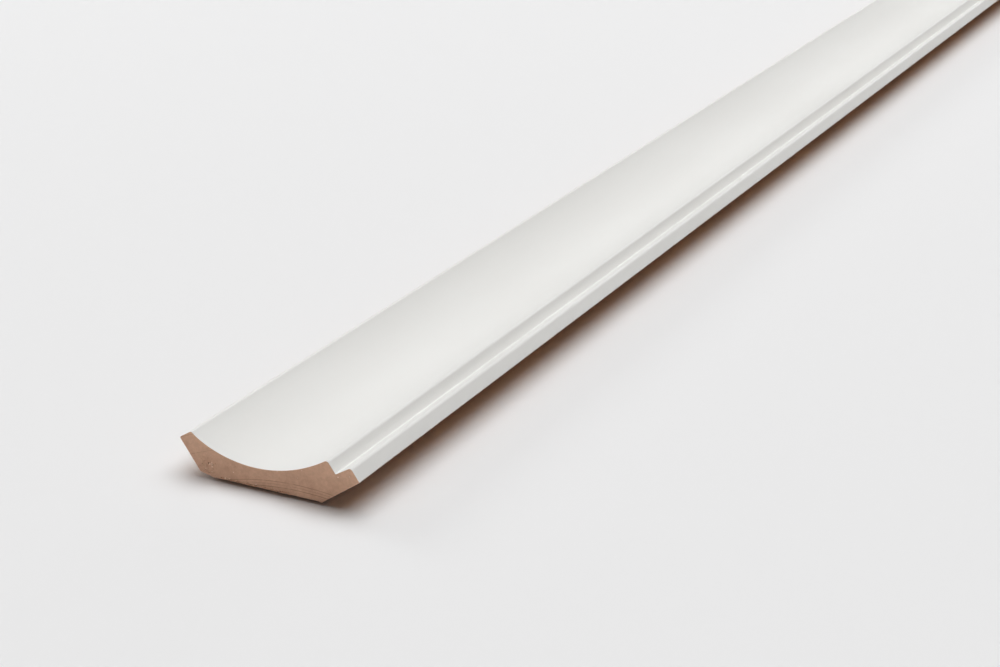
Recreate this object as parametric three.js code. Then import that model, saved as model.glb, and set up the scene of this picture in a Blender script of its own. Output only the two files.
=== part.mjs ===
// A one-metre length of cove crown moulding, lying on its flat back.
//
// The section has a flat back between two sloping seats. The wall seat and the ceiling seat are square to each
// other, so they bear on the wall and the ceiling at once. The front has a cove that runs from a thin ceiling
// edge down and up to a rounded peak, then a riser, a narrow ledge and a lip face. The riser and the lip face are
// parallel to the ceiling seat. The ledge and the ceiling edge are parallel to each other and a little flatter than
// the wall seat. The section is the same from end to end.
//
// Millimetres, +Z up. X runs across the moulding with the lip at +X, and Y runs along its length.

import * as THREE from "three";

// Overall
const length = 1000;

// Back and seats
const springAngle = 35; // degrees from the flat back to the wall seat
const backWidth = 46.9; // between the two seats, before the back's edge is eased
const wallSeatWidth = 17.8;
const ceilingSeatWidth = 15.1;
const backEasingWidth = 4.8; // taken off the back beside the ceiling seat
const backEasingHeight = 1.3;

// Lip and ceiling edge
const lipFaceWidth = 5.65;
const ledgeWidth = 6.7;
const ledgeAngle = 31.5; // degrees from the flat back to the ledge and to the ceiling edge
const riserHeight = 5.4;
const ceilingEdgeWidth = 5.7;

// Cove: how steeply it leaves each end, and how far each end holds that slope before the curve bends away
const coveCeilingSlope = 41; // degrees
const coveLipSlope = 31.5; // degrees
const coveCeilingPull = 9;
const coveLipPull = 29;

// Edge radii
const ceilingEdgeRadius = 0.8;
const peakRadius = 1.2;
const lipEdgeRadius = 1.2;
const seatEdgeRadius = 0.3;
const ledgeFilletRadius = 0.5;

// Facets
const coveSteps = 40;
const edgeSteps = 5;

/** A unit vector in the section, turned by an angle in degrees from the way that the back runs. */
function heading(degrees) {
  const turn = THREE.MathUtils.degToRad(degrees);
  return new THREE.Vector2(Math.cos(turn), Math.sin(turn));
}

/** The point reached by going a distance from a start in a direction. */
function step(start, direction, distance) {
  return start.clone().addScaledVector(direction, distance);
}

/** The point where a line from a start in a direction rises to a height. */
function atHeight(start, direction, height) {
  return step(start, direction, (height - start.y) / direction.y);
}

/** An arc of a radius that joins a straight run into a corner to a straight run out of it. */
function roundCorner(corner, wayIn, wayOut, radius) {
  const turn = Math.atan2(wayIn.cross(wayOut), wayIn.dot(wayOut));
  const side = Math.sign(turn);
  const start = step(corner, wayIn, -radius * Math.tan(Math.abs(turn) / 2));
  const towardsCentre = new THREE.Vector2(-wayIn.y, wayIn.x).multiplyScalar(side);
  const centre = step(start, towardsCentre, radius);
  const startAngle = towardsCentre.clone().negate().angle();
  const arc = new THREE.EllipseCurve(
    centre.x, centre.y, radius, radius, startAngle, startAngle + turn, side < 0,
  );
  return arc.getPoints(edgeSteps);
}

/** The section's outline, anticlockwise, with x across the moulding and y up from the back. */
function sectionOutline() {
  const wallSeatWay = heading(springAngle);
  const lipFaceWay = heading(springAngle + 90);
  const ledgeWay = heading(ledgeAngle + 180);
  const ceilingSeatWay = heading(springAngle + 270);
  const backWay = heading(0);

  // Corners as they would be if every edge were sharp
  const wallBackCorner = new THREE.Vector2(0, 0);
  const lipCorner = step(wallBackCorner, wallSeatWay, wallSeatWidth);
  const ledgeEdge = step(lipCorner, lipFaceWay, lipFaceWidth);
  const ledgeCorner = step(ledgeEdge, ledgeWay, ledgeWidth);
  const peak = step(ledgeCorner, lipFaceWay, riserHeight);
  const ceilingBackCorner = step(wallBackCorner, backWay, -backWidth);
  const ceilingCorner = step(ceilingBackCorner, ceilingSeatWay, -ceilingSeatWidth);
  const ceilingEdge = step(ceilingCorner, ledgeWay, -ceilingEdgeWidth);

  // The cove, from the peak to the ceiling edge
  const coveWayOut = heading(180 + coveLipSlope);
  const coveWayIn = heading(180 - coveCeilingSlope);
  const peakArc = roundCorner(peak, lipFaceWay, coveWayOut, peakRadius);
  const ceilingEdgeArc = roundCorner(ceilingEdge, coveWayIn, ledgeWay, ceilingEdgeRadius);
  const cove = new THREE.CubicBezierCurve(
    peakArc.at(-1),
    step(peak, coveWayOut, coveLipPull),
    step(ceilingEdge, coveWayIn, -coveCeilingPull),
    ceilingEdgeArc[0],
  );

  // The eased edge of the back
  const easingTop = atHeight(ceilingBackCorner, ceilingSeatWay, backEasingHeight);
  const easingFoot = step(ceilingBackCorner, backWay, backEasingWidth);

  return [
    ...roundCorner(wallBackCorner, backWay, wallSeatWay, seatEdgeRadius),
    ...roundCorner(lipCorner, wallSeatWay, lipFaceWay, seatEdgeRadius),
    ...roundCorner(ledgeEdge, lipFaceWay, ledgeWay, lipEdgeRadius),
    ...roundCorner(ledgeCorner, ledgeWay, lipFaceWay, ledgeFilletRadius),
    ...peakArc,
    ...cove.getPoints(coveSteps).slice(1, -1),
    ...ceilingEdgeArc,
    ...roundCorner(ceilingCorner, ledgeWay, ceilingSeatWay, ceilingEdgeRadius),
    easingTop,
    easingFoot,
  ];
}

/** The moulding, its section run along Y and centred on the origin, with the back on the ground. */
function makeMoulding() {
  const outline = sectionOutline();
  const across = new THREE.Box2().setFromPoints(outline);
  const middle = (across.min.x + across.max.x) / 2;
  const body = new THREE.ExtrudeGeometry(new THREE.Shape(outline), { depth: length, bevelEnabled: false });
  const whitePaint = new THREE.MeshStandardMaterial({ color: 0xe4e4df, roughness: 0.45, metalness: 0 });
  const moulding = new THREE.Mesh(body, whitePaint);
  moulding.name = "crown_moulding";
  moulding.rotation.x = Math.PI / 2;
  moulding.position.set(-middle, length / 2, -across.min.y);
  return moulding;
}

const part = new THREE.Group();
part.add(makeMoulding());

export default part;
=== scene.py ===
"""Looks of a one-metre length of painted cove crown moulding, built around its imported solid.

The length is one milled fibreboard section that lies on its flat back. A satin white paint film covers the
face, from the thin ceiling edge over the cove, the peak, the riser and the ledge to the lip. The back and
the two seats are bare planed board. The two ends are bare board as a saw leaves it, with blade marks, torn
fibres along the lower edge and a few pulled crumbs. Everything is in metres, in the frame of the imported
solid: X runs across the moulding with the lip at +X, Y runs along its length and Z is up.
"""

import logging
import math
import random
from dataclasses import dataclass, field
from enum import Enum
from typing import Callable

import bmesh
import bpy
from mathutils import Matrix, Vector


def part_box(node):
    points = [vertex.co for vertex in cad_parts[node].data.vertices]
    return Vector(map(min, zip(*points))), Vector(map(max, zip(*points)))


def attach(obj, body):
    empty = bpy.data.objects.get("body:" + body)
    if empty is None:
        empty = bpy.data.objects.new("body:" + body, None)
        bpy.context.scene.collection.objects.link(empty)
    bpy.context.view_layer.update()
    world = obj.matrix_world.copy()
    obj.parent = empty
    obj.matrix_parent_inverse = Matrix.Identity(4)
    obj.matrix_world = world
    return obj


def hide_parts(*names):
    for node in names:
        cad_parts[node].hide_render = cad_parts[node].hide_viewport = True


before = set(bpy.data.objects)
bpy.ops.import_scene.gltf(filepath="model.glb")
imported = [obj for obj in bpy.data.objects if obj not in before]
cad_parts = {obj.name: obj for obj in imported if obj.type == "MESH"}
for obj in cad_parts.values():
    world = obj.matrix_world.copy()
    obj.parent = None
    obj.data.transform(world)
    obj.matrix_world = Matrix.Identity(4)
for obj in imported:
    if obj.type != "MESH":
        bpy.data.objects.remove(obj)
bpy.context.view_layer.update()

LOG = logging.getLogger("moulding")
MM = 0.001
SAME_POINT = 0.001 * MM  # points closer than this count as one
ON_BACK = 0.02 * MM  # points lower than this are on the flat back
SIDE_FACE = 0.5  # a face whose normal has less than this along the length is a side face
NODE = "crown_moulding"
BODY = "root"
Colour = tuple[float, float, float]


class Surface(Enum):
    """The three ways that the board's surface is left, in the order of the piece's material slots."""

    PAINT = 0
    PLANED = 1
    SAWN = 2


def heading(angle: float) -> Vector:
    """A unit vector in the section.

    Args:
        angle: the turn from the way that the back runs, in radians, anticlockwise.

    Returns:
        The vector, with x across the moulding and y up from the back.
    """
    return Vector((math.cos(angle), math.sin(angle)))


@dataclass(frozen=True)
class Corner:
    """A corner of the section, as it is before it is rounded.

    Args:
        at: where the two straight runs would meet.
        way_in: the direction of the run that comes in.
        way_out: the direction of the run that leaves.
        radius: the radius that rounds it.
    """

    at: Vector
    way_in: Vector
    way_out: Vector
    radius: float

    @property
    def turn(self) -> float:
        """The angle that the outline turns through here, anticlockwise."""
        return math.atan2(self.way_in.cross(self.way_out), self.way_in.dot(self.way_out))

    @property
    def start(self) -> Vector:
        """The point where the rounding begins."""
        return self.at - self.way_in * self.radius * math.tan(abs(self.turn) / 2)

    @property
    def end(self) -> Vector:
        """The point where the rounding stops."""
        return self.at + self.way_out * self.radius * math.tan(abs(self.turn) / 2)

    @property
    def centre(self) -> Vector:
        """The centre of the rounding."""
        side = math.copysign(1.0, self.turn)
        return self.start + Vector((-self.way_in.y, self.way_in.x)) * side * self.radius


@dataclass(frozen=True)
class Section:
    """The moulding's section, on its back, measured from the back's corner on the wall side."""

    spring_angle: float = math.radians(35.0)
    ledge_angle: float = math.radians(31.5)
    back_width: float = 46.9 * MM
    wall_seat_width: float = 17.8 * MM
    ceiling_seat_width: float = 15.1 * MM
    back_easing_width: float = 4.8 * MM
    back_easing_height: float = 1.3 * MM
    lip_face_width: float = 5.65 * MM
    ledge_width: float = 6.7 * MM
    riser_height: float = 5.4 * MM
    ceiling_edge_width: float = 5.7 * MM
    cove_ceiling_slope: float = math.radians(41.0)
    cove_lip_slope: float = math.radians(31.5)
    cove_ceiling_pull: float = 9.0 * MM
    cove_lip_pull: float = 29.0 * MM
    ceiling_edge_radius: float = 0.8 * MM
    peak_radius: float = 1.2 * MM
    lip_edge_radius: float = 1.2 * MM
    seat_edge_radius: float = 0.3 * MM
    ledge_fillet_radius: float = 0.5 * MM
    cove_steps: int = 64

    @property
    def wall_seat_way(self) -> Vector:
        """Up the wall seat."""
        return heading(self.spring_angle)

    @property
    def ledge_way(self) -> Vector:
        """Along the ledge and the ceiling edge, from the lip towards the ceiling seat."""
        return heading(self.ledge_angle + math.pi)

    @property
    def lip_face_way(self) -> Vector:
        """Up the lip face, the riser and the ceiling seat."""
        return heading(self.spring_angle + math.pi / 2)

    @property
    def lip_corner(self) -> Vector:
        """Where the wall seat meets the lip face."""
        return self.wall_seat_way * self.wall_seat_width

    @property
    def ceiling_corner(self) -> Vector:
        """Where the ceiling seat meets the ceiling edge."""
        return Vector((-self.back_width, 0.0)) + self.lip_face_way * self.ceiling_seat_width

    def front_corners(self) -> list[Corner]:
        """The rounded corners from the back's wall side to the peak.

        Returns:
            The corners, in order round the outline.
        """
        seat, up, back = self.wall_seat_way, self.lip_face_way, self.ledge_way
        ledge_edge = self.lip_corner + up * self.lip_face_width
        ledge_corner = ledge_edge + back * self.ledge_width
        peak = ledge_corner + up * self.riser_height
        cove_way = heading(math.pi + self.cove_lip_slope)
        return [
            Corner(Vector((0.0, 0.0)), heading(0.0), seat, self.seat_edge_radius),
            Corner(self.lip_corner, seat, up, self.seat_edge_radius),
            Corner(ledge_edge, up, back, self.lip_edge_radius),
            Corner(ledge_corner, back, up, self.ledge_fillet_radius),
            Corner(peak, up, cove_way, self.peak_radius),
        ]

    def ceiling_corners(self) -> list[Corner]:
        """The two rounded corners of the thin ceiling edge.

        Returns:
            The corners, in order round the outline.
        """
        edge = self.ceiling_corner - self.ledge_way * self.ceiling_edge_width
        cove_way = heading(math.pi - self.cove_ceiling_slope)
        return [
            Corner(edge, cove_way, self.ledge_way, self.ceiling_edge_radius),
            Corner(self.ceiling_corner, self.ledge_way, -self.lip_face_way, self.ceiling_edge_radius),
        ]

    def cove(self) -> list[Vector]:
        """The cove's points after the peak, down and up again to the ceiling edge.

        Returns:
            The points, up to where the ceiling edge's rounding begins.
        """
        peak, edge = self.front_corners()[-1], self.ceiling_corners()[0]
        start, end = peak.end, edge.start
        first = peak.at + peak.way_out * self.cove_lip_pull
        second = edge.at - edge.way_in * self.cove_ceiling_pull
        shares = (step / self.cove_steps for step in range(1, self.cove_steps + 1))
        return [
            start * (1 - t) ** 3 + first * 3 * t * (1 - t) ** 2 + second * 3 * t**2 * (1 - t) + end * t**3
            for t in shares
        ]

    def easing(self) -> list[Vector]:
        """The two ends of the facet that eases the back's edge beside the ceiling seat.

        Returns:
            The facet's top and its foot.
        """
        corner = Vector((-self.back_width, 0.0))
        top = corner + self.lip_face_way * (self.back_easing_height / self.lip_face_way.y)
        return [top, corner + Vector((self.back_easing_width, 0.0))]


def select_nothing() -> None:
    """Deselects every object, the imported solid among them."""
    bpy.ops.object.select_all(action="DESELECT")


def pick(kind: str, wanted: Callable[[object], bool]) -> int:
    """Selects elements of the mesh in edit mode by a test of their place or normal.

    Args:
        kind: "verts" or "faces".
        wanted: says of one element whether it is selected.

    Returns:
        How many were selected.
    """
    mesh = bpy.context.edit_object.data
    bpy.ops.mesh.select_all(action="DESELECT")
    bpy.ops.mesh.select_mode(type="FACE" if kind == "faces" else "VERT")
    edit = bmesh.from_edit_mesh(mesh)
    chosen = [element for element in getattr(edit, kind) if wanted(element)]
    for element in chosen:
        element.select_set(True)
    edit.select_flush_mode()
    bmesh.update_edit_mesh(mesh)
    return len(chosen)


class OutlinePen:
    """Draws an outline across the moulding in edit mode, each run starting at the last point drawn."""

    def __init__(self, start: Vector, along: float, arc_step: float) -> None:
        """Starts a mesh with one point.

        Args:
            start: the first point, across and up.
            along: the place of the outline along the moulding.
            arc_step: the turn between two points of an arc, in radians.
        """
        self.at = start.copy()
        self.along = along
        self.arc_step = arc_step
        bpy.ops.mesh.primitive_plane_add(size=MM, location=(start.x, along, start.y))
        bpy.ops.object.transform_apply(location=True, rotation=True, scale=True)
        bpy.ops.object.mode_set(mode="EDIT")
        bpy.ops.mesh.select_all(action="SELECT")
        bpy.ops.mesh.merge(type="CENTER")

    def straight(self, end: Vector) -> None:
        """Draws a straight run to a point.

        Args:
            end: the point, across and up.
        """
        across, up = end - self.at
        bpy.ops.mesh.extrude_vertices_move(TRANSFORM_OT_translate={"value": (across, 0.0, up)})
        self.at = end.copy()

    def corner(self, corner: Corner) -> None:
        """Draws a straight run to a corner and the arc round it.

        Args:
            corner: the corner.
        """
        self.straight(corner.start)
        bpy.ops.mesh.spin(
            steps=max(3, math.ceil(abs(corner.turn) / self.arc_step)),
            angle=corner.turn,
            center=(corner.centre.x, self.along, corner.centre.y),
            axis=(0.0, 1.0, 0.0),
        )
        self.at = corner.end

    def close(self) -> None:
        """Joins the last point to the first and fills the outline with one face."""
        bpy.ops.mesh.select_all(action="SELECT")
        bpy.ops.mesh.remove_doubles(threshold=SAME_POINT)
        bpy.ops.mesh.edge_face_add()


@dataclass
class SawnEnd:
    """How a saw leaves one end of the length.

    Args:
        along: the end's place along the moulding.
        outward: -1 for the end at -Y, 1 for the end at +Y.
        seed: starts the choice of torn cells.
        torn_share: the share of the cells by the lower edge that carry a torn fibre.
        chip_depth: how far the torn lower arris is set back.
    """

    along: float
    outward: int
    seed: int
    torn_share: float
    chip_depth: float
    rim_drop: float = 0.10 * MM
    seat_rim_drop: float = 0.20 * MM
    rim_reach: float = 0.30 * MM
    bare_limit: float = -0.3
    flat_limit: float = 0.9
    crumb_inset: float = 0.12 * MM
    pit_depth: float = 0.13 * MM
    torn_reach: tuple[float, ...] = (0.2 * MM, 0.35 * MM, 0.6 * MM)
    chip_from: float = -20.6 * MM
    chip_to: float = 19.6 * MM
    torn_from: float = -19.0 * MM
    torn_to: float = 9.0 * MM
    torn_above: float = 0.45 * MM
    torn_below: float = 0.90 * MM
    pitted_at: tuple[float, float] = (-24.0 * MM, 3.9 * MM)
    pitted_radius: float = 3.6 * MM

    def on_end(self, place: Vector) -> bool:
        """Whether a place lies on this end."""
        return abs(place.y - self.along) < SAME_POINT

    def ease_rim(self) -> None:
        """Sets the rim of the cut back a little, more where it is bare and most where the saw chipped it."""
        pick("verts", lambda v: self.on_end(v.co) and self.is_rim(v) and self.is_bare(v))
        self.push_in(self.seat_rim_drop)
        pick("verts", lambda v: self.on_end(v.co) and self.is_rim(v))
        self.push_in(self.rim_drop)
        pick("verts", lambda v: self.is_chipped(v))
        self.push_in(self.chip_depth)

    def push_in(self, depth: float) -> None:
        """Moves what is selected into the board."""
        bpy.ops.transform.translate(value=(0.0, -self.outward * depth, 0.0))

    def is_chipped(self, vert: bmesh.types.BMVert) -> bool:
        """Whether a point is on the stretch of the lower arris that the saw broke away."""
        low = vert.co.z < ON_BACK and self.chip_from < vert.co.x < self.chip_to
        return low and abs(vert.co.y - self.along) < self.rim_reach

    @staticmethod
    def is_rim(vert: bmesh.types.BMVert) -> bool:
        """Whether a point of the end is on its rim, and so on a side face too."""
        return any(abs(face.normal.y) < SIDE_FACE for face in vert.link_faces)

    def is_bare(self, vert: bmesh.types.BMVert) -> bool:
        """Whether a rim point is on the bare back or seats."""
        sides = (face.normal for face in vert.link_faces if abs(face.normal.y) < SIDE_FACE)
        return any(normal.z < self.bare_limit for normal in sides)

    def tear(self) -> None:
        """Pulls fibres out along the lower edge, and leaves crumbs and pits in the patch by the corner."""
        draw = random.Random(self.seed)
        for reach in self.torn_reach:
            pick("faces", lambda f: self.is_lower_cell(f) and draw.random() < self.torn_share)
            self.raise_cells(reach)
        for height in (self.pit_depth, -self.pit_depth):
            pick("faces", lambda f: self.is_end_cell(f) and draw.random() < self.pitted_share(f))
            self.raise_cells(height)

    def raise_cells(self, height: float) -> None:
        """Raises each selected cell by itself, tapering to its top, or sinks it by a negative height."""
        bpy.ops.mesh.inset(thickness=self.crumb_inset, depth=height, use_individual=True)

    def is_end_cell(self, face: bmesh.types.BMFace) -> bool:
        """Whether a face is a whole cell of this end that hasn't been raised yet."""
        flat = face.normal.y * self.outward > self.flat_limit
        return flat and abs(face.calc_center_median().y - self.along) < self.seat_rim_drop / 2

    def is_lower_cell(self, face: bmesh.types.BMFace) -> bool:
        """Whether a face is a cell on the stretch just above the chipped arris.

        Args:
            face: a face of the mesh.

        Returns:
            True for such a cell.
        """
        centre = face.calc_center_median()
        row = self.torn_above < centre.z < self.torn_below
        return row and self.torn_from < centre.x < self.torn_to and self.is_end_cell(face)

    def pitted_share(self, face: bmesh.types.BMFace) -> float:
        """The share of the cells at a face that are raised or sunk, fading to 0 at the patch's edge.

        Args:
            face: a cell of this end.

        Returns:
            The share, from 0 to 1.
        """
        centre = face.calc_center_median()
        away = math.dist((centre.x, centre.z), self.pitted_at) / self.pitted_radius
        return max(0.0, 1.0 - away**2) * self.torn_share


class NodeCanvas:
    """Adds shader nodes to a tree and links them, so that a finish reads as a few lines."""

    def __init__(self, tree: bpy.types.NodeTree) -> None:
        """Keeps the tree that the nodes go into."""
        self.tree = tree

    def add(self, kind: str, inputs: dict | None = None, **settings: object) -> bpy.types.Node:
        """Adds a node.

        Args:
            kind: the node's type.
            inputs: values or sockets for its inputs, by name or number.
            settings: the node's own properties.

        Returns:
            The new node.
        """
        node = self.tree.nodes.new(kind)
        for name, value in settings.items():
            setattr(node, name, value)
        for key, value in (inputs or {}).items():
            self.feed(node.inputs[key], value)
        return node

    def feed(self, socket: bpy.types.NodeSocket, value: object) -> None:
        """Gives a socket a value, or links it to the socket that the value comes from.

        Args:
            socket: the input socket.
            value: a value, or the output socket that it comes from.
        """
        if isinstance(value, bpy.types.NodeSocket):
            self.tree.links.new(value, socket)
        else:
            socket.default_value = value

    def maths(
        self, operation: str, first: object, second: object = 0.0, third: object = 0.0
    ) -> bpy.types.NodeSocket:
        """The result of a Math node on up to three values or sockets."""
        inputs = {0: first, 1: second, 2: third}
        return self.add("ShaderNodeMath", inputs, operation=operation).outputs[0]

    def ramp(self, value: object, low: object, high: object) -> bpy.types.NodeSocket:
        """A smooth rise from 0 to 1 as a value goes from low to high."""
        inputs = {"Value": value, "From Min": low, "From Max": high}
        return self.add("ShaderNodeMapRange", inputs, interpolation_type="SMOOTHSTEP").outputs[0]

    def weighed(self, first: object, share: float, second: object, other: float) -> bpy.types.NodeSocket:
        """The sum of two values, each times its own share."""
        return self.maths("MULTIPLY_ADD", first, share, self.maths("MULTIPLY", second, other))

    def noise(
        self, place: object, scale: float, detail: float = 3.0, roughness: float = 0.5
    ) -> bpy.types.NodeSocket:
        """A noise value from 0 to 1 at a place."""
        inputs = {"Vector": place, "Scale": scale, "Detail": detail, "Roughness": roughness}
        return self.add("ShaderNodeTexNoise", inputs).outputs["Fac"]

    def mix(self, share: object, first: object, second: object) -> bpy.types.NodeSocket:
        """A colour between two others, by a share from 0 to 1.

        Args:
            share: how far towards the second colour it goes.
            first: a colour, or its socket.
            second: a colour, or its socket.

        Returns:
            The colour's socket.
        """
        node = self.add("ShaderNodeMix", data_type="RGBA")
        for key, value in ((0, share), (6, first), (7, second)):
            self.feed(node.inputs[key], (*value, 1.0) if isinstance(value, tuple) else value)
        return node.outputs[2]

    def object_place(self) -> bpy.types.NodeSocket:
        """The place on the piece, in its own coordinates."""
        return self.add("ShaderNodeTexCoord").outputs["Object"]

    def scaled(self, place: object, scale: object) -> bpy.types.NodeSocket:
        """A place with its scale changed all ways alike."""
        return self.add("ShaderNodeVectorMath", {0: place, 3: scale}, operation="SCALE").outputs[0]

    def stretched(self, place: object, across: float, along: float) -> bpy.types.NodeSocket:
        """A place with its scale across and along the moulding changed, for streaks and fibres."""
        inputs = {"Vector": place, "Scale": (across, along, across)}
        return self.add("ShaderNodeMapping", inputs).outputs[0]

    def part(self, place: object, axis: str) -> bpy.types.NodeSocket:
        """A place's X, Y or Z."""
        return self.add("ShaderNodeSeparateXYZ", {0: place}).outputs[axis]

    def away_from(self, place: object, across: float, up: float) -> bpy.types.NodeSocket:
        """The distance of a place from a line along the moulding.

        Args:
            place: the place.
            across: the line's X.
            up: the line's Z.

        Returns:
            The distance.
        """
        away_x = self.maths("SUBTRACT", self.part(place, "X"), across)
        away_z = self.maths("SUBTRACT", self.part(place, "Z"), up)
        square_x = self.maths("MULTIPLY", away_x, away_x)
        square_z = self.maths("MULTIPLY", away_z, away_z)
        return self.maths("SQRT", self.maths("ADD", square_x, square_z))


def new_group(name: str, inputs: dict[str, str], outputs: dict[str, str]) -> tuple[NodeCanvas, dict, dict]:
    """Makes an empty shader node group.

    Args:
        name: the group's name.
        inputs: its input sockets' types by name.
        outputs: its output sockets' types by name.

    Returns:
        A canvas on the group, its input sockets by name, and its output sockets by name.
    """
    group = bpy.data.node_groups.new(name, "ShaderNodeTree")
    for label, kind in inputs.items():
        group.interface.new_socket(label, in_out="INPUT", socket_type=kind)
    for label, kind in outputs.items():
        group.interface.new_socket(label, in_out="OUTPUT", socket_type=kind)
    canvas = NodeCanvas(group)
    source = canvas.add("NodeGroupInput")
    sink = canvas.add("NodeGroupOutput")
    return canvas, source.outputs, sink.inputs


class Effects:
    """The shader node groups that more than one finish uses, each built once."""

    strand_stretch = (0.35, 1.6)
    cloud_stretch = (1.0, 0.3)
    cloud_span = (0.3, 0.7)
    ragged_stretch = (900.0, 400.0)
    ragged_span = (0.25, 0.75)
    speck_span = (0.42, 0.22)

    def __init__(self) -> None:
        """Builds the groups."""
        self.fibre = self.build_fibre()
        self.mottle = self.build_mottle()
        self.ragged_edge = self.build_ragged_edge()
        self.specks = self.build_specks()

    def build_fibre(self) -> bpy.types.NodeTree:
        """Short pressed wood fibres: a mask of light and dark flecks.

        Returns:
            The group.
        """
        canvas, given, made = new_group(
            "pressed_fibre",
            {"Place": "NodeSocketVector", "Fleck Scale": "NodeSocketFloat", "Contrast": "NodeSocketFloat"},
            {"Flecks": "NodeSocketFloat", "Height": "NodeSocketFloat"},
        )
        place = canvas.scaled(given["Place"], given["Fleck Scale"])
        fine = canvas.noise(place, 1.0, detail=6.0, roughness=0.72)
        strand = canvas.noise(canvas.stretched(place, *self.strand_stretch), 1.0, detail=4.0, roughness=0.6)
        both = canvas.maths("ADD", fine, strand)
        centred = canvas.maths("SUBTRACT", both, 1.0)
        spread = canvas.maths("MULTIPLY_ADD", centred, given["Contrast"], 0.5)
        clamped = canvas.add("ShaderNodeClamp", {"Value": spread}).outputs[0]
        canvas.feed(made["Flecks"], clamped)
        canvas.feed(made["Height"], fine)
        return canvas.tree

    def build_mottle(self) -> bpy.types.NodeTree:
        """Slow, faint clouds of tone, as in any board or paint film.

        Returns:
            The group.
        """
        canvas, given, made = new_group(
            "slow_mottle",
            {"Place": "NodeSocketVector", "Cloud Scale": "NodeSocketFloat"},
            {"Tone": "NodeSocketFloat"},
        )
        place = canvas.scaled(given["Place"], given["Cloud Scale"])
        cloud = canvas.noise(canvas.stretched(place, *self.cloud_stretch), 1.0, detail=2.0)
        canvas.feed(made["Tone"], canvas.ramp(cloud, *self.cloud_span))
        return canvas.tree

    def build_ragged_edge(self) -> bpy.types.NodeTree:
        """A mask that is 1 at a plane and fades within a ragged reach of it, as paint does at its edge.

        Returns:
            The group.
        """
        canvas, given, made = new_group(
            "ragged_edge",
            {
                "Place": "NodeSocketVector",
                "Way": "NodeSocketVector",
                "Plane": "NodeSocketFloat",
                "Reach": "NodeSocketFloat",
            },
            {"Mask": "NodeSocketFloat"},
        )
        inputs = {0: given["Place"], 1: given["Way"]}
        dot = canvas.add("ShaderNodeVectorMath", inputs, operation="DOT_PRODUCT")
        away = canvas.maths("SUBTRACT", given["Plane"], dot.outputs["Value"])
        stretched = canvas.stretched(given["Place"], *self.ragged_stretch)
        ragged = canvas.noise(stretched, 1.0, detail=4.0, roughness=0.7)
        reach = canvas.maths("MULTIPLY", given["Reach"], canvas.ramp(ragged, *self.ragged_span))
        canvas.feed(made["Mask"], canvas.ramp(away, reach, 0.0))
        return canvas.tree

    def build_specks(self) -> bpy.types.NodeTree:
        """Small round specks in a given share of the cells of a random pattern.

        Returns:
            The group.
        """
        canvas, given, made = new_group(
            "loose_specks",
            {"Place": "NodeSocketVector", "Speck Scale": "NodeSocketFloat", "Share": "NodeSocketFloat"},
            {"Mask": "NodeSocketFloat"},
        )
        cells = canvas.add("ShaderNodeTexVoronoi", {"Vector": given["Place"], "Scale": given["Speck Scale"]})
        dot = canvas.ramp(cells.outputs["Distance"], *self.speck_span)
        draw = canvas.add("ShaderNodeSeparateColor", {0: cells.outputs["Color"]}).outputs[0]
        chosen = canvas.maths("LESS_THAN", draw, given["Share"])
        canvas.feed(made["Mask"], canvas.maths("MULTIPLY", dot, chosen))
        return canvas.tree


@dataclass(frozen=True)
class Edge:
    """A plane square to the section, from which a finish changes.

    Args:
        way: the direction square to the plane, in the section, that leads out of the board.
        plane: the plane's distance from the piece's origin along that direction.
    """

    way: Vector
    plane: float

    @classmethod
    def through(cls, point: Vector, way: Vector, shift: float) -> "Edge":
        """The edge through a corner of the section, once the section is moved across by the shift."""
        return cls(way, (point + Vector((shift, 0.0))).dot(way))


@dataclass(frozen=True)
class Finish:
    """What every finish has: the effects that it shares with the others, and a way to start its material."""

    effects: Effects

    def start(self, name: str, **plain: object) -> tuple[NodeCanvas, bpy.types.Node, bpy.types.Material]:
        """Makes a material with an empty shader.

        Args:
            name: the material's name.
            plain: values set on the shader's own sockets, by name with spaces as underscores.

        Returns:
            A canvas on the material, its shader and the material.
        """
        material = bpy.data.materials.new(name)
        material.use_nodes = True
        canvas = NodeCanvas(material.node_tree)
        shader = material.node_tree.nodes["Principled BSDF"]
        for socket, value in plain.items():
            shader.inputs[socket.replace("_", " ")].default_value = value
        return canvas, shader, material

    def use(self, canvas: NodeCanvas, group: bpy.types.NodeTree, **inputs: object) -> bpy.types.Node:
        """Places one of the shared groups in a material, with its own values.

        Args:
            canvas: the material's canvas.
            group: the shared group.
            inputs: values or sockets for its inputs, by name with spaces as underscores.

        Returns:
            The group's node.
        """
        node = canvas.add("ShaderNodeGroup", node_tree=group)
        for key, value in inputs.items():
            canvas.feed(node.inputs[key.replace("_", " ")], value)
        return node

    def by_edges(
        self, canvas: NodeCanvas, place: bpy.types.NodeSocket, edges: tuple[Edge, ...], reach: float
    ) -> bpy.types.NodeSocket:
        """A mask that is 1 along the given edges.

        Args:
            canvas: the material's canvas.
            place: the place on the piece.
            edges: the edges.
            reach: how far from an edge the mask can go.

        Returns:
            The mask.
        """
        mask: object = 0.0
        for edge in edges:
            way = (edge.way.x, 0.0, edge.way.y)
            given = {"Place": place, "Way": way, "Plane": edge.plane, "Reach": reach}
            node = self.use(canvas, self.effects.ragged_edge, **given)
            mask = canvas.maths("MAXIMUM", mask, node.outputs["Mask"])
        return mask

    def bump(self, canvas: NodeCanvas, shader: bpy.types.Node, height: object, distance: float) -> None:
        """Gives the shader a relief from a height value."""
        bump = canvas.add("ShaderNodeBump", {"Height": height, "Distance": distance, "Strength": 1.0})
        canvas.feed(shader.inputs["Normal"], bump.outputs[0])


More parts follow.
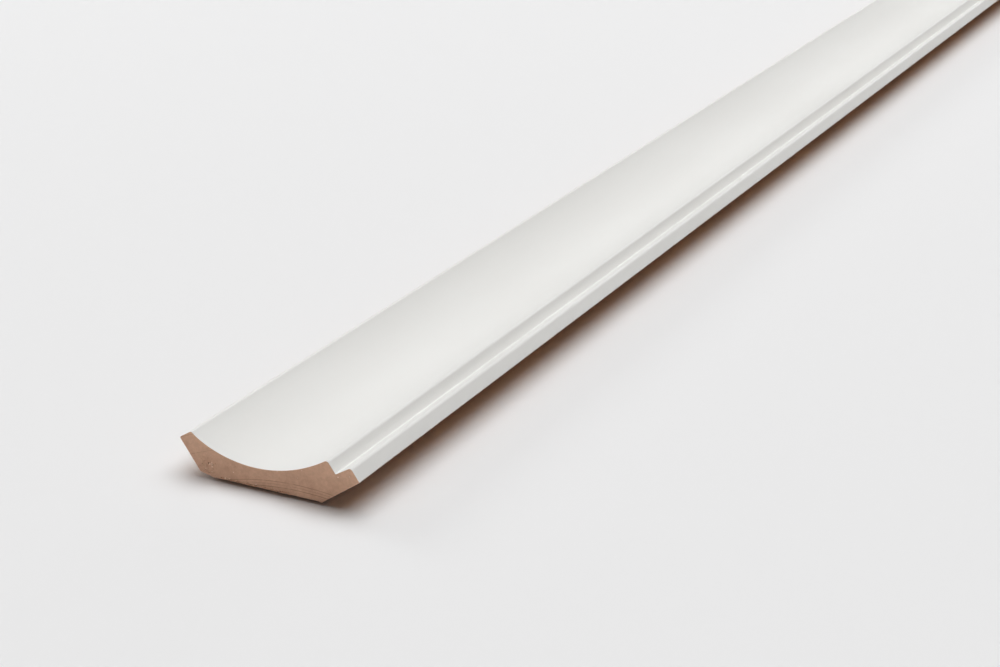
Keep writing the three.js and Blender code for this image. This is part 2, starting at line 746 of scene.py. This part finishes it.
@dataclass(frozen=True)
class SatinPaint(Finish):
    """The factory paint film: satin white, with a faint orange peel, long soft streaks and thin arrises."""

    arrises: tuple[Edge, ...]
    light: Colour = (0.832, 0.825, 0.8)
    dull: Colour = (0.807, 0.798, 0.771)
    thin: Colour = (0.80, 0.66, 0.48)
    gloss: float = 0.15
    roughness: float = 0.50
    cloud_scale: float = 28.0
    cloud_share: float = 0.65
    cloud_roughness: float = 0.05
    streak_stretch: tuple[float, float] = (700.0, 6.0)
    streak_share: float = 0.35
    streak_height: float = 0.30
    grain_scale: float = 5200.0
    grain_height: float = 0.22
    grain_roughness: float = 0.10
    nib_scale: float = 70.0
    nib_span: tuple[float, float] = (0.035, 0.02)
    nib_height: float = 1.6
    peel_stretch: tuple[float, float] = (620.0, 380.0)
    peel_height: float = 0.010 * MM
    arris_reach: float = 0.55 * MM
    arris_wear: float = 0.8

    def build(self) -> bpy.types.Material:
        """Makes the material.

        Returns:
            The material.
        """
        canvas, shader, material = self.start("satin_white_paint", Specular_IOR_Level=self.gloss)
        place = canvas.object_place()
        clouds = self.use(canvas, self.effects.mottle, Place=place, Cloud_Scale=self.cloud_scale)
        tone = clouds.outputs["Tone"]
        streak = canvas.noise(canvas.stretched(place, *self.streak_stretch), 1.0, detail=2.0)
        peel = canvas.noise(canvas.stretched(place, *self.peel_stretch), 1.0, detail=3.0, roughness=0.55)
        grain = canvas.noise(place, self.grain_scale, detail=1.0)
        cells = canvas.add("ShaderNodeTexVoronoi", {"Vector": place, "Scale": self.nib_scale})
        nibs = canvas.ramp(cells.outputs["Distance"], *self.nib_span)
        tint = canvas.weighed(streak, self.streak_share, tone, self.cloud_share)
        film = canvas.mix(tint, self.dull, self.light)
        worn = self.by_edges(canvas, place, self.arrises, self.arris_reach)
        colour = canvas.mix(canvas.maths("MULTIPLY", worn, self.arris_wear), film, self.thin)
        canvas.feed(shader.inputs["Base Color"], colour)
        rough = canvas.maths("MULTIPLY_ADD", tone, self.cloud_roughness, self.roughness)
        rough = canvas.maths("MULTIPLY_ADD", grain, self.grain_roughness, rough)
        canvas.feed(shader.inputs["Roughness"], rough)
        height = canvas.maths("MULTIPLY_ADD", grain, self.grain_height, peel)
        height = canvas.maths("MULTIPLY_ADD", streak, self.streak_height, height)
        height = canvas.maths("MULTIPLY_ADD", nibs, self.nib_height, height)
        self.bump(canvas, shader, height, self.peel_height)
        return material


@dataclass(frozen=True)
class PlanedBoard(Finish):
    """Bare board as the moulder leaves it: pressed fibres, faint cutter ripples and paint mist at edges."""

    seat_edges: tuple[Edge, ...]
    light: Colour = (0.56, 0.27, 0.10)
    dark: Colour = (0.38, 0.16, 0.055)
    mist: Colour = (0.80, 0.76, 0.68)
    roughness: float = 0.70
    fleck_scale: float = 900.0
    fleck_contrast: float = 1.5
    fleck_share: float = 0.7
    fleck_roughness: float = 0.12
    cloud_scale: float = 45.0
    cloud_share: float = 0.3
    ripple_pitch: float = 1.6 * MM
    ripple_height: float = 0.25
    fibre_height: float = 0.03 * MM
    mist_reach: float = 1.3 * MM
    mist_share: float = 0.85

    def build(self) -> bpy.types.Material:
        """Makes the material.

        Returns:
            The material.
        """
        canvas, shader, material = self.start("planed_fibreboard")
        place = canvas.object_place()
        given = {"Place": place, "Fleck_Scale": self.fleck_scale, "Contrast": self.fleck_contrast}
        fibre = self.use(canvas, self.effects.fibre, **given)
        flecks = fibre.outputs["Flecks"]
        clouds = self.use(canvas, self.effects.mottle, Place=place, Cloud_Scale=self.cloud_scale)
        shade = canvas.weighed(flecks, self.fleck_share, clouds.outputs["Tone"], self.cloud_share)
        board = canvas.mix(shade, self.dark, self.light)
        mist = self.by_edges(canvas, place, self.seat_edges, self.mist_reach)
        colour = canvas.mix(canvas.maths("MULTIPLY", mist, self.mist_share), board, self.mist)
        canvas.feed(shader.inputs["Base Color"], colour)
        rough = canvas.maths("MULTIPLY_ADD", flecks, self.fleck_roughness, self.roughness)
        canvas.feed(shader.inputs["Roughness"], rough)
        turn = canvas.maths("MULTIPLY", canvas.part(place, "Y"), 2 * math.pi / self.ripple_pitch)
        ripple = canvas.maths("MULTIPLY", canvas.maths("SINE", turn), self.ripple_height)
        height = canvas.maths("ADD", fibre.outputs["Height"], ripple)
        self.bump(canvas, shader, height, self.fibre_height)
        return material


@dataclass(frozen=True)
class SawnBoard(Finish):
    """Bare board across a saw cut: fuzzy pressed fibres, darker low down, with a few thin blade arcs."""

    light: Colour = (0.79, 0.495, 0.340)
    dark: Colour = (0.475, 0.274, 0.181)
    arc_tone: Colour = (0.22, 0.110, 0.062)
    roughness: float = 0.82
    fleck_scale: float = 1100.0
    fleck_contrast: float = 2.0
    fleck_share: float = 0.42
    fleck_roughness: float = 0.10
    fibre_height: float = 0.06 * MM
    cloud_scale: float = 110.0
    cloud_share: float = 0.20
    board_top: float = 16.0 * MM
    top_share: float = 0.38
    blade_across: float = 12.0 * MM
    blade_up: float = -97.6 * MM
    arc_radii: tuple[float, ...] = (100.0 * MM, 102.0 * MM, 101.0 * MM, 113.0 * MM, 119.6 * MM)
    arc_strengths: tuple[float, ...] = (0.85, 0.7, 0.4, 0.35, 0.45)
    arc_width: float = 0.16 * MM
    arc_depth: float = -0.8
    arc_waver: float = 0.30 * MM
    waver_stretch: tuple[float, float] = (90.0, 1.0)
    break_scale: float = 170.0
    break_span: tuple[float, float] = (0.28, 0.52)
    speck_light: Colour = (0.92, 0.72, 0.56)
    # the dark speck colour is painted shade, standing in for the shade inside small pits
    painted_pit_shade: Colour = (0.16, 0.08, 0.045)
    speck_scale: float = 1150.0
    speck_share: float = 0.8
    dark_shift: Vector = field(default_factory=lambda: Vector((0.31, 0.0, 0.31)))
    patch_at: tuple[float, float] = (-24.0 * MM, 4.2 * MM)
    patch_reach: float = 3.6 * MM
    patch_share: float = 0.42
    fringe_height: float = 1.8 * MM
    fringe_to: float = 10.0 * MM
    fringe_share: float = 0.32
    stray_share: float = 0.012

    def build(self) -> bpy.types.Material:
        """Makes the material.

        Returns:
            The material.
        """
        canvas, shader, material = self.start("sawn_fibreboard")
        place = canvas.object_place()
        given = {"Place": place, "Fleck_Scale": self.fleck_scale, "Contrast": self.fleck_contrast}
        fibre = self.use(canvas, self.effects.fibre, **given)
        flecks = fibre.outputs["Flecks"]
        clouds = self.use(canvas, self.effects.mottle, Place=place, Cloud_Scale=self.cloud_scale)
        shade = canvas.weighed(flecks, self.fleck_share, clouds.outputs["Tone"], self.cloud_share)
        height_share = canvas.ramp(canvas.part(place, "Z"), 0.0, self.board_top)
        shade = canvas.maths("MULTIPLY_ADD", height_share, self.top_share, shade)
        arcs = self.arcs(canvas, place)
        board = canvas.mix(arcs, canvas.mix(shade, self.dark, self.light), self.arc_tone)
        canvas.feed(shader.inputs["Base Color"], self.speckled(canvas, place, board))
        rough = canvas.maths("MULTIPLY_ADD", flecks, self.fleck_roughness, self.roughness)
        canvas.feed(shader.inputs["Roughness"], rough)
        height = canvas.maths("MULTIPLY_ADD", arcs, self.arc_depth, fibre.outputs["Height"])
        self.bump(canvas, shader, height, self.fibre_height)
        return material

    def speckled(
        self, canvas: NodeCanvas, place: bpy.types.NodeSocket, board: bpy.types.NodeSocket
    ) -> bpy.types.NodeSocket:
        """The board's colour with pale torn fibres and dark specks of painted shade for small pits, most of
        them low down and in the patch.

        Args:
            canvas: the material's canvas.
            place: the place on the piece.
            board: the board's colour.

        Returns:
            The colour.
        """
        patch = canvas.ramp(canvas.away_from(place, *self.patch_at), self.patch_reach, 0.0)
        low = canvas.ramp(canvas.part(place, "Z"), self.fringe_height, 0.0)
        left = canvas.ramp(canvas.part(place, "X"), self.fringe_to, 0.0)
        fringe = canvas.maths("MULTIPLY", low, left)
        both = canvas.weighed(patch, self.patch_share, fringe, self.fringe_share)
        strewn = canvas.maths("ADD", both, self.stray_share)
        moved = canvas.add("ShaderNodeVectorMath", {0: place, 1: self.dark_shift}, operation="ADD")
        # the dark specks paint the shade of small pits, shifted so that they don't sit on the pale fibres
        dark = (self.painted_pit_shade, moved.outputs[0], both)
        pale = (self.speck_light, place, strewn)
        colour = board
        for tone, spot, share in (dark, pale):
            given = {"Place": spot, "Speck_Scale": self.speck_scale, "Share": share}
            mask = self.use(canvas, self.effects.specks, **given).outputs["Mask"]
            colour = canvas.mix(canvas.maths("MULTIPLY", mask, self.speck_share), colour, tone)
        return colour

    def arcs(self, canvas: NodeCanvas, place: bpy.types.NodeSocket) -> bpy.types.NodeSocket:
        """The thin arcs that the blade left, broken up along their length.

        Args:
            canvas: the material's canvas.
            place: the place on the piece.

        Returns:
            A mask that is 1 in the middle of an arc.
        """
        waver = canvas.noise(canvas.stretched(place, *self.waver_stretch), 1.0, detail=1.0)
        away = canvas.away_from(place, self.blade_across, self.blade_up)
        reach = canvas.maths("MULTIPLY_ADD", waver, self.arc_waver, away)
        broken = canvas.ramp(canvas.noise(place, self.break_scale, detail=2.0), *self.break_span)
        mask: object = 0.0
        for radius, strength in zip(self.arc_radii, self.arc_strengths):
            beside = canvas.maths("SUBTRACT", reach, radius + self.arc_waver / 2)
            line = canvas.ramp(canvas.maths("ABSOLUTE", beside), self.arc_width, 0.0)
            mask = canvas.maths("MAXIMUM", mask, canvas.maths("MULTIPLY", line, strength))
        return canvas.maths("MULTIPLY", mask, broken)


@dataclass
class CrownMoulding:
    """The whole length: its section run from end to end, with two sawn ends and three finishes."""

    section: Section = field(default_factory=Section)
    arc_step: float = math.radians(12.0)
    cell: float = 0.45 * MM
    first_ring: float = 2.4 * MM
    widest_ring: float = 50.0 * MM
    cut_threshold: float = 0.01 * MM
    end_reach: float = 2.16 * MM
    sawn_reach: float = 0.96 * MM
    inner_normal: float = 0.8
    smooth_angle: float = math.radians(28.0)
    fuzz_height: float = 0.09 * MM
    fuzz_scale: float = 1.1 * MM
    arris_depth: float = 0.8 * MM
    arris_scale: float = 0.8 * MM
    paint_limit: float = -0.35

    def __post_init__(self) -> None:
        """Takes the length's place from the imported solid."""
        self.low, self.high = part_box(NODE)
        self.shift = 0.0

    def build(self) -> bpy.types.Object:
        """Models the length and dresses it.

        Returns:
            The finished piece.
        """
        select_nothing()
        self.draw_section()
        self.centre_section()
        self.cut_cells()
        self.run_along()
        for end in self.ends():
            end.ease_rim()
            end.tear()
        piece = self.finish_mesh()
        self.roughen_ends(piece)
        self.dress(piece)
        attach(piece, BODY)
        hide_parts(NODE)
        return piece

    def ends(self) -> list[SawnEnd]:
        """The near end, which the saw tore along its lower edge, and the cleaner far end.

        Returns:
            The two ends.
        """
        return [
            SawnEnd(along=self.low[1], outward=-1, seed=11, torn_share=0.26, chip_depth=0.25 * MM),
            SawnEnd(along=self.high[1], outward=1, seed=23, torn_share=0.10, chip_depth=0.10 * MM),
        ]

    def draw_section(self) -> None:
        """Draws the section's outline at the near end and fills it."""
        corners = self.section.front_corners()
        pen = OutlinePen(self.section.easing()[1], self.low[1], self.arc_step)
        for corner in corners:
            pen.corner(corner)
        for point in self.section.cove():
            pen.straight(point)
        for corner in self.section.ceiling_corners():
            pen.corner(corner)
        for point in self.section.easing():
            pen.straight(point)
        pen.close()

    def centre_section(self) -> None:
        """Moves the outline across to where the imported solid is."""
        edit = bmesh.from_edit_mesh(bpy.context.edit_object.data)
        reach = [vert.co.x for vert in edit.verts]
        self.shift = (self.low[0] + self.high[0] - min(reach) - max(reach)) / 2
        bpy.ops.mesh.select_all(action="SELECT")
        bpy.ops.transform.translate(value=(self.shift, 0.0, 0.0))

    def cut_cells(self) -> None:
        """Cuts the end face into small cells, which the saw's relief needs."""
        for axis in (0, 2):
            count = math.floor((self.high[axis] - self.low[axis]) / self.cell)
            normal = tuple(float(axis == number) for number in range(3))
            for number in range(1, count + 1):
                place = tuple(part * (self.low[axis] + number * self.cell) for part in normal)
                bpy.ops.mesh.select_all(action="SELECT")
                bpy.ops.mesh.bisect(plane_co=place, plane_no=normal, threshold=self.cut_threshold)

    def rings(self) -> list[float]:
        """The steps along the length: short by the ends, doubling to the widest in the middle.

        Returns:
            The steps, from the near end to the far one.
        """
        length = self.high[1] - self.low[1]
        steps = [self.first_ring]
        while steps[-1] < self.widest_ring / 2:
            steps.append(steps[-1] * 2)
        middle = length - 2 * sum(steps)
        count = round(middle / self.widest_ring)
        return [*steps, *[middle / count] * count, *reversed(steps)]

    def run_along(self) -> None:
        """Runs the section to the far end, ring by ring, and turns every face outwards."""
        bpy.ops.mesh.select_all(action="SELECT")
        for step in self.rings():
            bpy.ops.mesh.extrude_region_move(TRANSFORM_OT_translate={"value": (0.0, step, 0.0)})
        bpy.ops.mesh.select_all(action="SELECT")
        bpy.ops.mesh.normals_make_consistent(inside=False)

    def finish_mesh(self) -> bpy.types.Object:
        """Leaves edit mode with the piece named and its origin at the frame's origin.

        Returns:
            The piece.
        """
        piece = bpy.context.edit_object
        bpy.ops.object.mode_set(mode="OBJECT")
        piece.name = piece.data.name = "moulding_length"
        bpy.ops.object.transform_apply(location=True, rotation=True, scale=True)
        return piece

    def roughen_ends(self, piece: bpy.types.Object) -> None:
        """Raises a slight fuzz on the inner points of both ends and breaks up the line of their lower arris.

        Args:
            piece: the moulding, selected.
        """
        by_ends = [v for v in piece.data.vertices if self.is_by_end(v.co.y, self.end_reach)]
        inner = [v.index for v in by_ends if abs(v.normal.y) > self.inner_normal]
        arris = [v.index for v in by_ends if v.co.z < ON_BACK and abs(v.normal.y) < self.inner_normal]
        self.roughen(piece, "sawn_fuzz", inner, self.fuzz_height, self.fuzz_scale, "NORMAL")
        self.roughen(piece, "torn_arris", arris, self.arris_depth, self.arris_scale, "Y")
        bpy.ops.object.shade_smooth_by_angle(angle=self.smooth_angle)

    @staticmethod
    def roughen(
        piece: bpy.types.Object, name: str, points: list[int], height: float, scale: float, way: str
    ) -> None:
        """Moves points of the piece up and down at random, by a noise.

        Args:
            piece: the moulding.
            name: what the noise and the group of points are called.
            points: the points' numbers.
            height: the distance between the lowest and the highest.
            scale: the size of the noise's lumps.
            way: the direction that the points move in.
        """
        noise = bpy.data.textures.new(name, "CLOUDS")
        noise.noise_scale = scale
        piece.vertex_groups.new(name=name).add(points, 1.0, "REPLACE")
        relief = piece.modifiers.new(name, "DISPLACE")
        relief.texture = noise
        relief.texture_coords = "LOCAL"
        relief.vertex_group = name
        relief.direction = way
        relief.strength = height
        relief.mid_level = 0.5
        bpy.ops.object.modifier_apply(modifier=relief.name)

    def is_by_end(self, along: float, reach: float) -> bool:
        """Whether a place along the length is within reach of either end."""
        return min(abs(along - self.low[1]), abs(along - self.high[1])) < reach

    def dress(self, piece: bpy.types.Object) -> None:
        """Gives the piece its three finishes, and each face the one that its place calls for.

        Args:
            piece: the moulding.
        """
        effects = Effects()
        up, right = self.section.lip_face_way, self.section.wall_seat_way
        lip, ceiling = self.section.lip_corner, self.section.ceiling_corner
        arrises = (Edge.through(lip, -up, self.shift), Edge.through(ceiling, -right, self.shift))
        seat_edges = (Edge.through(lip, right, self.shift), Edge.through(ceiling, up, self.shift))
        finishes = {
            Surface.PAINT: SatinPaint(effects, arrises).build(),
            Surface.PLANED: PlanedBoard(effects, seat_edges).build(),
            Surface.SAWN: SawnBoard(effects).build(),
        }
        for surface in Surface:
            piece.data.materials.append(finishes[surface])
        for face in piece.data.polygons:
            face.material_index = self.surface_of(face).value

    def surface_of(self, face: bpy.types.MeshPolygon) -> Surface:
        """The finish of one face, by its place and the way that it faces.

        Args:
            face: a face of the moulding.

        Returns:
            The finish.
        """
        if self.is_by_end(face.center.y, self.sawn_reach) or abs(face.normal.y) > SIDE_FACE:
            return Surface.SAWN
        return Surface.PAINT if face.normal.z > self.paint_limit else Surface.PLANED


@dataclass(frozen=True)
class SoftLight:
    """One soft studio light, which faces the moulding.

    Args:
        name: what the light is called.
        place: where its middle is.
        width: its size from left to right.
        depth: its size from top to bottom.
        power: its power in watts.
        tone: its colour, a touch cooler than white.
    """

    name: str
    place: Vector
    width: float
    depth: float
    power: float
    tone: Colour = (0.982, 1.0, 1.012)

    def build(self) -> None:
        """Makes the light, unseen by the camera."""
        data = bpy.data.lights.new(self.name, "AREA")
        data.shape = "RECTANGLE"
        data.size = self.width
        data.size_y = self.depth
        data.energy = self.power
        data.color = self.tone
        lamp = bpy.data.objects.new(self.name, data)
        lamp.location = self.place
        lamp.rotation_euler = (-self.place).to_track_quat("-Z", "Y").to_euler()
        lamp.visible_camera = False
        bpy.context.scene.collection.objects.link(lamp)


@dataclass
class Studio:
    """The plain pale floor, the soft lights round it and the camera at the photograph's viewing angle."""

    floor_side: float = 24.0
    floor_cuts: int = 4
    floor_tone: Colour = (0.834, 0.83, 0.828)
    floor_roughness: float = 0.9
    floor_gloss: float = 0.2
    floor_gap: float = 1.1 * MM
    sky_light: float = 0.087
    sky_seen: float = 0.80
    sky_tone: Colour = (1.0, 0.847, 0.771)
    backdrop_tone: Colour = (1.0, 1.0, 1.0)
    camera_place: Vector = field(default_factory=lambda: Vector((0.34340, -1.00960, 0.29299)))
    camera_turn: float = math.radians(26.818)
    camera_dip: float = math.radians(21.249)
    sensor: float = 36.0
    lens: float = 73.224
    lights: tuple[SoftLight, ...] = (
        SoftLight("far_softbox", Vector((0.6, 4.9, 10.0)), 13.0, 8.5, 688.0),
        SoftLight("overhead_softbox", Vector((0.6, 1.0, 10.0)), 12.0, 8.0, 549.0),
        SoftLight("left_softbox", Vector((-6.4, 8.0, 10.0)), 8.0, 6.0, 181.0),
        SoftLight("left_lamp", Vector((-4.2, 1.0, 1.8)), 1.2, 1.2, 43.0),
        SoftLight("front_lamp", Vector((0.2, -4.5, 0.35)), 0.6, 0.6, 21.7),
        SoftLight("back_lamp", Vector((-0.2, 5.0, 0.35)), 0.6, 0.6, 25.0),
    )

    def build(self) -> None:
        """Makes the floor, the sky, the lights and the camera."""
        self.build_floor()
        self.build_sky()
        for light in self.lights:
            light.build()
        self.build_camera()

    def build_floor(self) -> None:
        """Makes the floor a hair below the back, as the slightly bowed length leaves a gap under its end."""
        select_nothing()
        bpy.ops.mesh.primitive_grid_add(
            x_subdivisions=self.floor_cuts,
            y_subdivisions=self.floor_cuts,
            size=self.floor_side,
            location=(0.0, 0.0, -self.floor_gap),
        )
        bpy.ops.object.transform_apply(location=True, rotation=True, scale=True)
        floor = bpy.context.object
        floor.name = floor.data.name = "studio_floor"
        material = bpy.data.materials.new("pale_floor")
        material.use_nodes = True
        shader = material.node_tree.nodes["Principled BSDF"]
        shader.inputs["Base Color"].default_value = (*self.floor_tone, 1.0)
        shader.inputs["Roughness"].default_value = self.floor_roughness
        shader.inputs["Specular IOR Level"].default_value = self.floor_gloss
        floor.data.materials.append(material)

    def build_sky(self) -> None:
        """Makes an even, slightly warm light from all round, which the camera sees as a pale backdrop."""
        world = bpy.data.worlds.new("studio_sky")
        world.use_nodes = True
        canvas = NodeCanvas(world.node_tree)
        background = world.node_tree.nodes["Background"]
        seen = canvas.add("ShaderNodeLightPath").outputs["Is Camera Ray"]
        strength = canvas.maths("MULTIPLY_ADD", seen, self.sky_seen - self.sky_light, self.sky_light)
        canvas.feed(background.inputs["Strength"], strength)
        tone = canvas.mix(seen, self.sky_tone, self.backdrop_tone)
        canvas.feed(background.inputs["Color"], tone)
        bpy.context.scene.world = world

    def build_camera(self) -> None:
        """Places the camera as the photographer stood, right of the near end, looking down the length."""
        data = bpy.data.cameras.new("camera")
        data.sensor_width = self.sensor
        data.lens = self.lens
        camera = bpy.data.objects.new("camera", data)
        camera.location = self.camera_place
        camera.rotation_euler = (math.pi / 2 - self.camera_dip, 0.0, self.camera_turn)
        bpy.context.scene.collection.objects.link(camera)
        bpy.context.scene.camera = camera
        bpy.context.scene.view_settings.view_transform = "Standard"


def main() -> None:
    """Builds the studio and the moulding, and reports each piece."""
    logging.basicConfig(level=logging.INFO, format="%(name)s: %(message)s")
    Studio().build()
    LOG.info("studio: floor, lights and camera")
    piece = CrownMoulding().build()
    LOG.info("%s: %d faces", piece.name, len(piece.data.polygons))


if __name__ == "__main__":
    main()
